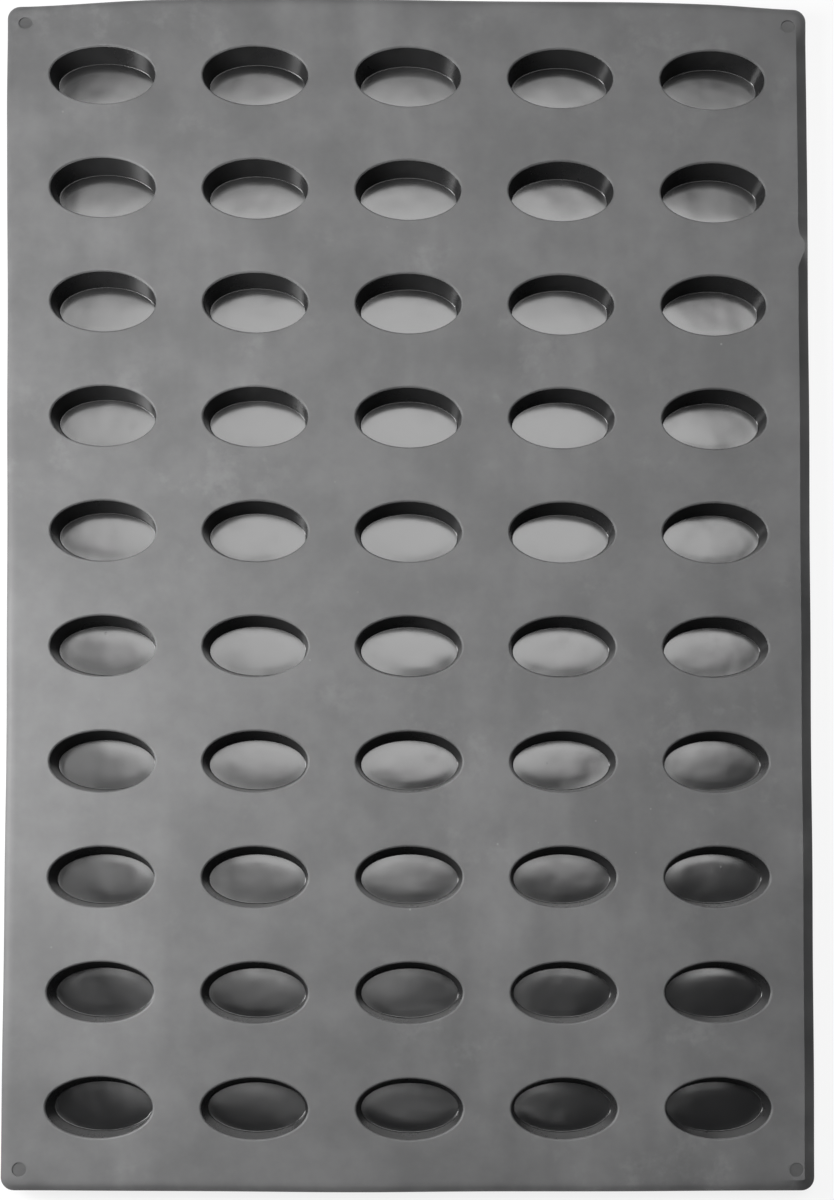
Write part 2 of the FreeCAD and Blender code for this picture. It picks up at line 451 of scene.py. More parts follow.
@dataclass(frozen=True)
class RimBand:
    """The border of the sheet: flat, bevel, lip and the recess wall underneath.

    The bevel has a sharp crease on the right-hand side and a soft edge on the other three. Its roundings
    and their steps are those of the crease, the bevel's foot, the lip's foot and the recess's two corners.
    """

    sheet: Sheet = Sheet()
    corner_radius: float = 6.5 * MM
    least_radius: float = 0.6 * MM
    bevel_width: float = 5.5 * MM
    bevel_height: float = 2.5 * MM
    lip_height: float = 2.5 * MM
    rim_width: float = 7.0 * MM
    flat_from_edge: float = 8.0 * MM
    roundings: tuple[float, ...] = (0.5 * MM, 0.5 * MM, 0.5 * MM, 0.4 * MM, 0.5 * MM)
    rounding_steps: tuple[int, ...] = (2, 4, 3, 2, 2)
    bevel_shares: Point2 = (0.66, 0.33)
    steps_across: int = 80
    steps_along: int = 140
    corner_steps: int = 8
    crisp_across: Point2 = (186 * MM, 194 * MM)
    crisp_along: Point2 = (288 * MM, 274 * MM)
    soft_power: float = 3.2
    bite_place: float = 172 * MM
    bite_half_length: float = 6 * MM
    bite_depth: float = 0.62
    bite_power: int = 4
    # Painted shade: the right-hand bevel faces away from the lamps and gets this polish value, which darkens
    # its colour as well as smoothing it.
    bevel_polish_and_shade: float = 0.55

    def _rectangle(self, x: float, y: float, radius: float, height: float) -> list[Point3]:
        """A rounded rectangle with the same number of points whatever its radius.

        Args:
            x: Half its width.
            y: Half its length.
            radius: The radius of its corners.
            height: Its height.

        Returns:
            Its points, counter-clockwise.
        """
        across, along = x - radius, y - radius
        corners = ((across, along), (-across, along), (-across, -along), (across, -along))
        counts = (self.steps_across, self.steps_along) * 2
        out: list[Point3] = []
        for place, ((cx, cy), count) in enumerate(zip(corners, counts)):
            for step in range(self.corner_steps + 1):
                angle = (place + step / self.corner_steps) * math.pi / 2
                out.append((cx + radius * math.cos(angle), cy + radius * math.sin(angle), height))
            nx, ny = corners[(place + 1) % len(corners)]
            turn = (place + 1) * math.pi / 2
            end = (nx + radius * math.cos(turn), ny + radius * math.sin(turn))
            out += evenly(out[-1][:2], end, count, height)[1:]
        return out

    def _inset_ring(self, inset: float, height: float) -> list[Point3]:
        """A rounded rectangle at one distance inside the outer edge."""
        x, y = self.sheet.half_width - inset, self.sheet.half_length - inset
        return self._rectangle(x, y, max(self.corner_radius - inset, self.least_radius), height)

    def _soft_point(self, crisp: Point2) -> Point2:
        """Where a point of the crisp bevel lies on the softer edge of the other three sides.

        Args:
            crisp: The distance inside the outer edge and the height.

        Returns:
            The soft place.
        """
        inset, height = crisp
        drop = self.sheet.top - height
        if drop <= 0 or drop > self.bevel_height or inset > self.bevel_width:
            return crisp
        out = 1 - min(inset / self.bevel_width, 1.0)
        return inset, self.sheet.top - self.bevel_height * (1 - math.sqrt(1 - out ** self.soft_power))

    def _crispness(self, x: float, y: float) -> float:
        """1 on the right-hand side, where the bevel is sharp, and 0 on the others."""
        return part_way(x, *self.crisp_across) * part_way(y, *self.crisp_along)

    def _bite(self, y: float) -> float:
        """How much of the bevel's width is left where the right-hand crease runs out to the edge."""
        away = (y - self.bite_place) / self.bite_half_length
        return 1 - self.bite_depth * math.exp(-(away ** self.bite_power))

    def _blended(self, mesh: RingMesh, point: Point2) -> list[int]:
        """One ring of the band, between the crisp section and the soft one.

        Args:
            mesh: The mesh that is being drawn.
            point: The ring's place in the crisp section.

        Returns:
            The ring's numbers.
        """
        inset, edge, top = point[0], self.sheet.half_width, self.sheet.top
        out: list[Point3] = []
        shares: list[float] = []
        for one, other in zip(self._inset_ring(*point), self._inset_ring(*self._soft_point(point))):
            share = self._crispness(one[0], one[1])
            x, y, z = (b + (a - b) * share for a, b in zip(one, other))
            in_bevel = self.flat_from_edge > inset > 0 and z > top - self.bevel_height
            if in_bevel and x > edge - self.flat_from_edge:
                x = edge - (edge - x) * self._bite(y)
            out.append((x, y, z))
            # Painted shade: the crisp right-hand bevel's points get a polish value that darkens their colour.
            shares.append(share if z < top - SAME_LEVEL and inset < self.bevel_width else 0.0)
        ring = mesh.ring(out, PolishAndShade.MATT)
        for number, share in zip(ring, shares):
            mesh.polish[number] = self.bevel_polish_and_shade * share
        return ring

    def _section(self) -> list[Point2]:
        """The crisp cross-section, as distances inside the outer edge and heights.

        Returns:
            The section's points, from the field's top to its underside.
        """
        top, underside = self.sheet.top, self.sheet.underside
        bevel_foot = top - self.bevel_height
        lip_foot = bevel_foot - self.lip_height
        section = rounded(
            [
                (self.flat_from_edge, top),
                (self.bevel_width, top),
                (0.0, bevel_foot),
                (0.0, lip_foot),
                (self.rim_width, lip_foot),
                (self.rim_width, underside),
                (self.flat_from_edge, underside),
            ],
            self.roundings, self.rounding_steps)
        crease = self.rounding_steps[0] + 1
        (inset, high), (_, low) = section[crease], section[crease + 1]
        on_bevel = [(inset * share, high + (low - high) * (1 - share)) for share in self.bevel_shares]
        return section[:crease + 1] + on_bevel + section[crease + 1:]

    def build(self) -> bpy.types.Object:
        """Draw the band as one strip from the field's top round the edge to its underside.

        Returns:
            The object that the cups are joined to.
        """
        mesh = RingMesh()
        x, y = self.sheet.half_field
        rings = [mesh.ring(self._rectangle(x, y, 0.0, self.sheet.top), PolishAndShade.MATT)]
        rings += [self._blended(mesh, point) for point in self._section()]
        rings.append(mesh.ring(self._rectangle(x, y, 0.0, self.sheet.underside), PolishAndShade.MATT))
        for before, after in zip(rings, rings[1:]):
            mesh.strip(after, before)
        return mesh.to_object("silicone_mould")


# Nodes in Python


class Socket:
    """A socket of a node tree, with sums that add Math nodes."""

    def __init__(self, graph: "Graph", socket: bpy.types.NodeSocket) -> None:
        self.graph, self.socket = graph, socket

    def _math(self, operation: str, *values: "Socket | float") -> "Socket":
        """One Math node."""
        return self.graph.node("ShaderNodeMath", {"operation": operation}, dict(enumerate(values)))

    def __add__(self, other: "Socket | float") -> "Socket":
        """Sum."""
        return self._math("ADD", self, other)

    def __sub__(self, other: "Socket | float") -> "Socket":
        """Difference."""
        return self._math("SUBTRACT", self, other)

    def __mul__(self, other: "Socket | float") -> "Socket":
        """Product."""
        return self._math("MULTIPLY", self, other)

    def __rsub__(self, other: float) -> "Socket":
        """Difference from a number."""
        return self._math("SUBTRACT", other, self)

    __radd__, __rmul__ = __add__, __mul__

    def clamped(self) -> "Socket":
        """The value held between 0 and 1."""
        return self.graph.node("ShaderNodeClamp", {}, {"Value": self}, "Result")

    def between(self, low: float, high: float) -> "Socket":
        """0 at or below low, 1 at or above high, with a smooth change; low may be the larger.

        Args:
            low: The value that gives 0.
            high: The value that gives 1.

        Returns:
            The share.
        """
        settings = {"interpolation_type": "SMOOTHSTEP"}
        values = {"Value": self, "From Min": low, "From Max": high}
        return self.graph.node("ShaderNodeMapRange", settings, values, "Result")


class Graph:
    """A node tree under construction, for a material, for the surroundings or for geometry."""

    def __init__(self, tree: bpy.types.NodeTree) -> None:
        self.tree = tree

    @classmethod
    def emptied(cls, owner: bpy.types.Material | bpy.types.World) -> "Graph":
        """The node tree of a new material or world, with nothing in it.

        Args:
            owner: The material or world.

        Returns:
            The tree, ready for its nodes.
        """
        owner.use_nodes = True
        owner.node_tree.nodes.clear()
        return cls(owner.node_tree)

    def add(self, kind: str, settings: dict, values: dict) -> bpy.types.Node:
        """Add one node.

        Args:
            kind: The node's type.
            settings: Its properties, which are set first.
            values: Values or links of its sockets, by name or by number.

        Returns:
            The node.
        """
        made = self.tree.nodes.new(kind)
        for name, setting in settings.items():
            setattr(made, name, setting)
        for name, value in values.items():
            into = self._in_use(made.inputs, name)
            for item in value if isinstance(value, list) else [value]:
                if isinstance(item, Socket):
                    self.tree.links.new(item.socket, into)
                else:
                    into.default_value = item
        return made

    def node(self, kind: str, settings: dict, values: dict, output: str | int = 0) -> Socket:
        """Add one node and take one of its outputs, by name or by number."""
        return Socket(self, self._in_use(self.add(kind, settings, values).outputs, output))

    @staticmethod
    def _in_use(sockets: Sequence[bpy.types.NodeSocket], name: str | int) -> bpy.types.NodeSocket:
        """The socket with this number, or the one with this name that the node's settings leave in use.

        Args:
            sockets: A node's inputs or outputs.
            name: The name or number.

        Returns:
            The socket.
        """
        if isinstance(name, int):
            return sockets[name]
        return next(socket for socket in sockets if socket.name == name and socket.enabled)


# Fifty cups in one sheet


@dataclass(frozen=True)
class CupField:
    """The node tree that repeats the cup over the sheet and joins it to the rim.

    Each floor has a low dome, which fades out at its reach, and a slight tilt of its own, which fades out
    between two shares of that reach. Both act only on points whose polish is a floor's. The reach is
    measured across and along the sheet, and its third number leaves heights as they are.
    """

    sheet: Sheet = Sheet()
    weld: float = 0.02 * MM
    tilt: float = 0.010
    rise: float = 0.45 * MM
    rise_spread: float = 0.2
    reach: Point3 = (23.8 * MM, 12.2 * MM, 1.0)
    tilt_fade: Point2 = (1.0, 0.75)
    floor_polish: Point2 = (0.90, 0.95)
    seed: int = 7

    def _inputs(self, cell: bpy.types.Object, material: bpy.types.Material) -> dict[str, tuple]:
        """The tree's inputs after the rim: the kind of each one's socket, and its value.

        Args:
            cell: The cup cell.
            material: The silicone.

        Returns:
            The inputs by name.
        """
        return {
            "Cup Cell": ("NodeSocketObject", cell),
            "Columns": ("NodeSocketInt", self.sheet.columns),
            "Rows": ("NodeSocketInt", self.sheet.rows),
            "Column Pitch": ("NodeSocketFloat", self.sheet.column_pitch),
            "Row Pitch": ("NodeSocketFloat", self.sheet.row_pitch),
            "Weld": ("NodeSocketFloat", self.weld),
            "Floor Tilt": ("NodeSocketFloat", self.tilt),
            "Floor Rise": ("NodeSocketFloat", self.rise),
            "Floor Reach": ("NodeSocketVector", self.reach),
            "Seed": ("NodeSocketInt", self.seed),
            "Material": ("NodeSocketMaterial", material),
        }

    def _tree(self, kinds: dict[str, str]) -> tuple[bpy.types.NodeTree, dict[str, str]]:
        """Build the tree.

        Args:
            kinds: The kind of socket of each named input, the rim's first.

        Returns:
            The tree and the identifier of each named input.
        """
        tree = bpy.data.node_groups.new("cup_field", "GeometryNodeTree")
        tree.is_modifier = True
        graph = Graph(tree)
        made = {
            name: tree.interface.new_socket(name=name, in_out="INPUT", socket_type=kind)
            for name, kind in kinds.items()
        }
        tree.interface.new_socket(name="Sheet", in_out="OUTPUT", socket_type="NodeSocketGeometry")
        entry = graph.add("NodeGroupInput", {}, {})
        given = {name: Socket(graph, entry.outputs[name]) for name in kinds}

        place = graph.node("GeometryNodeInputPosition", {}, {})
        sheet = graph.node("GeometryNodeJoinGeometry", {}, {
            "Geometry": [given["Rim"], self._cups(graph, given, place)]})
        sheet = graph.node("GeometryNodeMergeByDistance", {}, {"Geometry": sheet, "Distance": given["Weld"]})
        sheet = graph.node("GeometryNodeSetPosition", {}, {
            "Geometry": sheet, "Offset": self._floor_lift(graph, given, place)})
        sheet = graph.node("GeometryNodeSetShadeSmooth", {}, {"Geometry": sheet, "Shade Smooth": True})
        sheet = graph.node("GeometryNodeRealizeInstances", {}, {"Geometry": sheet})
        sheet = graph.node("GeometryNodeSetMaterial", {}, {"Geometry": sheet, "Material": given["Material"]})
        graph.add("NodeGroupOutput", {}, {"Sheet": sheet})
        return tree, {name: socket.identifier for name, socket in made.items()}

    def _cups(self, graph: Graph, given: dict[str, Socket], place: Socket) -> Socket:
        """The cups at their places, each with its own middle and chance values on its points.

        Args:
            graph: The tree.
            given: Its inputs.
            place: The position of a point.

        Returns:
            The cups' mesh.
        """
        grid = graph.node("GeometryNodeMeshGrid", {}, {
            "Size X": (given["Columns"] - 1) * given["Column Pitch"],
            "Size Y": (given["Rows"] - 1) * given["Row Pitch"],
            "Vertices X": given["Columns"],
            "Vertices Y": given["Rows"],
        })
        cell = graph.node("GeometryNodeObjectInfo", {}, {"Object": given["Cup Cell"]}, "Geometry")
        cups = graph.node("GeometryNodeInstanceOnPoints", {}, {"Points": grid, "Instance": cell})
        chance = graph.node("FunctionNodeRandomValue", {"data_type": "FLOAT_VECTOR"}, {
            "Min": (-1.0, -1.0, -1.0), "Max": (1.0, 1.0, 1.0), "Seed": given["Seed"]}, "Value")
        on_instance = {"data_type": "FLOAT_VECTOR", "domain": "INSTANCE"}
        for name, value in (("cup_middle", place), ("cup_chance", chance)):
            cups = graph.node("GeometryNodeStoreNamedAttribute", on_instance, {
                "Geometry": cups, "Name": name, "Value": value})
        return graph.node("GeometryNodeRealizeInstances", {}, {"Geometry": cups})

    def _floor_lift(self, graph: Graph, given: dict[str, Socket], place: Socket) -> Socket:
        """How each cup's floor departs from a true plane: a slight tilt and a low dome, its own.

        Args:
            graph: The tree.
            given: Its inputs.
            place: The position of a point.

        Returns:
            The move of each point, straight up.
        """
        def named(name: str, kind: str) -> Socket:
            """An attribute of the points."""
            settings = {"data_type": kind}
            return graph.node("GeometryNodeInputNamedAttribute", settings, {"Name": name}, "Attribute")

        def vector(operation: str, *values: Socket | Point3, output: str | int = 0) -> Socket:
            """One Vector Math node."""
            settings = {"operation": operation}
            return graph.node("ShaderNodeVectorMath", settings, dict(enumerate(values)), output)

        chance = named("cup_chance", "FLOAT_VECTOR")
        local = vector("SUBTRACT", place, named("cup_middle", "FLOAT_VECTOR"))
        level = vector("MULTIPLY", local, (1.0, 1.0, 0.0))
        tilt = vector("DOT_PRODUCT", chance, level, output="Value")
        reach = vector("LENGTH", vector("DIVIDE", level, given["Floor Reach"]), output="Value")
        own = graph.node("ShaderNodeSeparateXYZ", {}, {"Vector": chance}, "Z")
        height = own * self.rise_spread + (1 - self.rise_spread)
        dome = (1 - reach * reach * reach).clamped() * height * given["Floor Rise"]
        lift = tilt * given["Floor Tilt"] * reach.between(*self.tilt_fade) + dome
        floor = named("polish", "FLOAT").between(*self.floor_polish)
        return graph.node("ShaderNodeCombineXYZ", {}, {"Z": lift * floor})

    def build(self, rim: bpy.types.Object, cell: bpy.types.Object,
              material: bpy.types.Material) -> bpy.types.Object:
        """Repeat the cell, join it to the rim and make the result a plain mesh.

        Args:
            rim: The border band, which takes the finished mesh.
            cell: The cup cell, removed here.
            material: The silicone.

        Returns:
            The rim's object with the whole sheet as its mesh.
        """
        for part in (rim, cell):
            part.data.materials.append(material)
        inputs = self._inputs(cell, material)
        kinds = {"Rim": "NodeSocketGeometry"} | {name: kind for name, (kind, _) in inputs.items()}
        tree, identifiers = self._tree(kinds)
        modifier = rim.modifiers.new("cup_field", "NODES")
        modifier.node_group = tree
        for name, (_, value) in inputs.items():
            modifier[identifiers[name]] = value
        bake(rim)
        bpy.data.objects.remove(cell)
        return rim


def bake(piece: bpy.types.Object) -> None:
    """Replace a piece's mesh by its evaluated one and clear its modifiers.

    Args:
        piece: The piece.
    """
    bpy.context.view_layer.update()
    evaluated = piece.evaluated_get(bpy.context.evaluated_depsgraph_get())
    made = bpy.data.meshes.new_from_object(evaluated)
    piece.modifiers.clear()
    old = piece.data
    piece.data = made
    made.name = piece.name
    bpy.data.meshes.remove(old)


# Marks, and how the sheet lies


@dataclass(frozen=True)
class CornerMarks:
    """The shallow round recess in each corner of the top, left plain."""

    sheet: Sheet = Sheet()
    from_middle: Point2 = (190.5 * MM, 287.0 * MM)
    radius: float = 3.5 * MM
    depth: float = 0.5 * MM
    edge_rounding: float = 0.1 * MM
    edge_steps: int = 3
    level_run: float = 1 * MM
    sheen: float = 0.45
    clearing: float = 6.5 * MM
    margin: float = 0.6 * MM
    steps: int = 48

    def cut(self, piece: bpy.types.Object) -> None:
        """Cut the marks into the sheet's flat top.

        Args:
            piece: The sheet.
        """
        bm = bmesh.new()
        bm.from_mesh(piece.data)
        polish = bm.verts.layers.float["polish"]
        x, y = self.from_middle
        for middle in ((x, y), (-x, y), (-x, -y), (x, -y)):
            for vert in self._cut_one(bm, Vector((*middle, self.sheet.top))):
                vert[polish] = self.sheen
        bm.to_mesh(piece.data)
        bm.free()

    def _cut_one(self, bm: bmesh.types.BMesh, middle: Vector) -> list[bmesh.types.BMVert]:
        """Open the flat round one mark, and fill it again with the recess in it.

        Args:
            bm: The sheet's mesh.
            middle: The mark's middle, on the flat.

        Returns:
            The points of the recess's floor.
        """
        near = [face for face in bm.faces if self._in_the_way(face, middle)]
        edges = dict.fromkeys(edge for face in near for edge in face.edges)
        hole = [edge for edge in edges if sum(face in near for face in edge.link_faces) == 1]
        bmesh.ops.delete(bm, geom=near, context="FACES")
        rings = self._recess_rings(bm, middle)
        pairs = [(here, (here + 1) % self.steps) for here in range(self.steps)]
        for outer, inner in zip(rings, rings[1:]):
            for here, there in pairs:
                bm.faces.new((outer[here], outer[there], inner[there], inner[here])).smooth = True
        centre = bm.verts.new(middle + Vector((0.0, 0.0, -self.depth)))
        for here, there in pairs:
            bm.faces.new((rings[-1][here], rings[-1][there], centre)).smooth = True
        mouth = [bm.edges.get((rings[0][here], rings[0][there])) for here, there in pairs]
        filled = bmesh.ops.triangle_fill(
            bm, use_beauty=True, use_dissolve=False, edges=hole + mouth, normal=(0, 0, 1))
        for item in filled["geom"]:
            if isinstance(item, bmesh.types.BMFace):
                item.smooth = True
        return [*rings[-1], centre]

    def _recess_rings(self, bm: bmesh.types.BMesh, middle: Vector) -> list[list[bmesh.types.BMVert]]:
        """The points of one recess, ring by ring from its rim to its floor.

        Args:
            bm: The sheet's mesh.
            middle: The mark's middle, on the flat.

        Returns:
            The rings.
        """
        run, radius, depth = self.level_run, self.radius, self.depth
        section = rounded(
            [(radius + run, 0.0), (radius, 0.0), (radius, -depth), (0.0, -depth)],
            (self.edge_rounding, self.edge_rounding), (self.edge_steps, self.edge_steps))
        return [
            [
                bm.verts.new(middle + Vector((out * math.cos(turn), out * math.sin(turn), drop)))
                for turn in once_round(self.steps)
            ]
            for out, drop in section[1:-1]
        ]

    def _in_the_way(self, face: bmesh.types.BMFace, middle: Vector) -> bool:
        """Whether a face of the flat top is near a mark or touches its margin.

        Args:
            face: A face of the sheet.
            middle: The mark's middle.

        Returns:
            True if the face is opened for the mark.
        """
        if any(abs(vert.co.z - self.sheet.top) >= SAME_LEVEL for vert in face.verts):
            return False
        touches = any((vert.co - middle).length < self.radius + self.margin for vert in face.verts)
        return touches or (face.calc_center_median() - middle).length < self.clearing


def ramp(values: np.ndarray, first: float, last: float) -> np.ndarray:
    """0 at first, 1 at last and a smooth change between them; first may be the larger."""
    share = np.clip((values - first) / (last - first), 0.0, 1.0)
    return share * share * (3 - 2 * share)


@dataclass(frozen=True)
class EdgeWave:
    """An uneven wave along an edge: two sines, each given by its angle per metre and its start."""

    short: Point2
    long: Point2

    def at(self, places: np.ndarray) -> np.ndarray:
        """The wave at each place, between 0 and 1."""
        (short, short_start), (long, long_start) = self.short, self.long
        return 0.5 + 0.5 * np.sin(places * short + short_start) * np.sin(places * long + long_start)


@dataclass(frozen=True)
class Lie:
    """How the soft sheet lies: its left side drawn in, its upper corners drooping, and faint waves.

    A pair of places says where a move starts and where it is at its full size. The waves are sines of
    angles per metre: wave_along also holds its start, and wave_bend the size of the bend.
    """

    free_heights: Point2 = (4 * MM, 9 * MM)
    left_bow: float = 1.9 * MM
    bow_half_length: float = 290 * MM
    bow_across: Point2 = (-40 * MM, -190 * MM)

    edge_wave: float = 0.35 * MM
    side_edge: Point2 = (170 * MM, 200 * MM)
    side_wave: EdgeWave = EdgeWave((41.0, 1.3), (17.0, 0.0))
    end_edge: Point2 = (270 * MM, 297.5 * MM)
    end_wave: EdgeWave = EdgeWave((37.0, 0.4), (13.0, 1.0))

    far_end: Point2 = (262 * MM, 296 * MM)
    far_pull: float = 1.1 * MM
    left_corner_pull: float = 3.0 * MM
    left_corner: Point2 = (-30 * MM, -200 * MM)
    right_corner_pull: float = 1.6 * MM
    right_corner: Point2 = (100 * MM, 200 * MM)
    corner_power: float = 1.4
    near_corner_pull: float = 1.7 * MM
    near_end: Point2 = (-120 * MM, -280 * MM)
    near_corner: Point2 = (0.0, -190 * MM)

    droop_end: Point2 = (235 * MM, 297.5 * MM)
    left_droop: float = 4.0 * MM
    left_droop_across: Point2 = (-120 * MM, -200 * MM)
    right_droop: float = 2.0 * MM
    right_droop_across: Point2 = (150 * MM, 200 * MM)

    wave: float = 0.22 * MM
    wave_across: float = 38.0
    wave_along: Point2 = (27.0, 0.7)
    wave_bend: Point2 = (1.1, 14.0)

    def lay(self, piece: bpy.types.Object) -> None:
        """Move the points of the sheet.

        Args:
            piece: The sheet.
        """
        mesh = piece.data
        flat = np.empty(len(mesh.vertices) * 3)
        mesh.vertices.foreach_get("co", flat)
        at = flat.reshape(-1, 3)
        x, y, z = at.T.copy()
        free = ramp(z, *self.free_heights)
        at += np.stack([self._across(x, y), self._along(x, y), -free * self._down(x, y)], axis=1)
        mesh.vertices.foreach_set("co", at.ravel())
        mesh.update()

    def _across(self, x: np.ndarray, y: np.ndarray) -> np.ndarray:
        """The move across the sheet: the left side's bow and the waves of both sides.

        Args:
            x: Places across the sheet.
            y: Places along it.

        Returns:
            The move of each point.
        """
        bow = np.clip(1 - (y / self.bow_half_length) ** 2, 0, 1) * ramp(x, *self.bow_across)
        side = ramp(np.abs(x), *self.side_edge) * self.side_wave.at(y)
        return self.left_bow * bow - np.sign(x) * side * self.edge_wave

    def _along(self, x: np.ndarray, y: np.ndarray) -> np.ndarray:
        """The move along the sheet: the waves of both ends, the far end's pull and the near left corner's.

        Args:
            x: Places across the sheet.
            y: Places along it.

        Returns:
            The move of each point.
        """
        end = ramp(np.abs(y), *self.end_edge) * self.end_wave.at(x)
        left = self.left_corner_pull * ramp(x, *self.left_corner) ** self.corner_power
        right = self.right_corner_pull * ramp(x, *self.right_corner) ** self.corner_power
        far = ramp(y, *self.far_end) * (self.far_pull + left + right)
        near = self.near_corner_pull * ramp(y, *self.near_end) * ramp(x, *self.near_corner)
        return near - far - np.sign(y) * end * self.edge_wave

    def _down(self, x: np.ndarray, y: np.ndarray) -> np.ndarray:
        """The sinking of the sheet: its upper corners' droop and the faint waves all over.

        Args:
            x: Places across the sheet.
            y: Places along it.

        Returns:
            How far each point sinks where it is free to.
        """
        left = self.left_droop * ramp(x, *self.left_droop_across)
        right = self.right_droop * ramp(x, *self.right_droop_across)
        (along, start), (bend, bend_along) = self.wave_along, self.wave_bend
        ripple = np.sin(x * self.wave_across + bend * np.sin(y * bend_along)) * np.sin(y * along + start)
        return ramp(y, *self.droop_end) * (left + right) + self.wave * (ripple + 1) / 2


def even_normals(piece: bpy.types.Object) -> None:
    """Let the broad faces set the shading, so that the small roundings stay crisp.

    Args:
        piece: The piece.
    """
    weighting = piece.modifiers.new("broad_faces", "WEIGHTED_NORMAL")
    weighting.mode = "FACE_AREA"
    weighting.keep_sharp = True
    bake(piece)


def face_outwards(piece: bpy.types.Object) -> None:
    """Turn every face of a closed mesh outwards.

    Args:
        piece: The piece.
    """
    bm = bmesh.new()
    bm.from_mesh(piece.data)
    bmesh.ops.recalc_face_normals(bm, faces=bm.faces)
    bm.to_mesh(piece.data)
    bm.free()


# The silicone


@dataclass(frozen=True)
class Pattern:
    """One cloudy pattern; its mask starts at the span's first value and is full at the last."""

    scale: float
    detail: float
    roughness: float
    span: Point2 = (0.0, 1.0)
    stretch: Point3 = (1.0, 1.0, 1.0)
    shift: Point3 = (0.0, 0.0, 0.0)

    def draw(self, graph: Graph, place: Socket) -> Socket:
        """The pattern over these coordinates, about 0.5 on average.

        Args:
            graph: The tree.
            place: The coordinates.

        Returns:
            The pattern's value.
        """
        moved = graph.node("ShaderNodeMapping", {}, {
            "Vector": place, "Location": self.shift, "Scale": self.stretch})
        return graph.node("ShaderNodeTexNoise", {}, {
            "Vector": moved, "Scale": self.scale, "Detail": self.detail, "Roughness": self.roughness}, "Fac")


@dataclass(frozen=True)
class Zone:
    """What one finish of the tool leaves on the silicone, and the colour its zone is given, which for the
    polished zone is partly painted shade.

    After the roughness comes how far clouds, broad patches and smudges change it, and then how strongly
    bloom, specks, grain and swell show.
    """

    colour: Point3
    roughness: float
    by_clouds: float
    by_broad: float
    by_smudges: float
    bloom: float
    specks: float
    grain: float
    swell: float


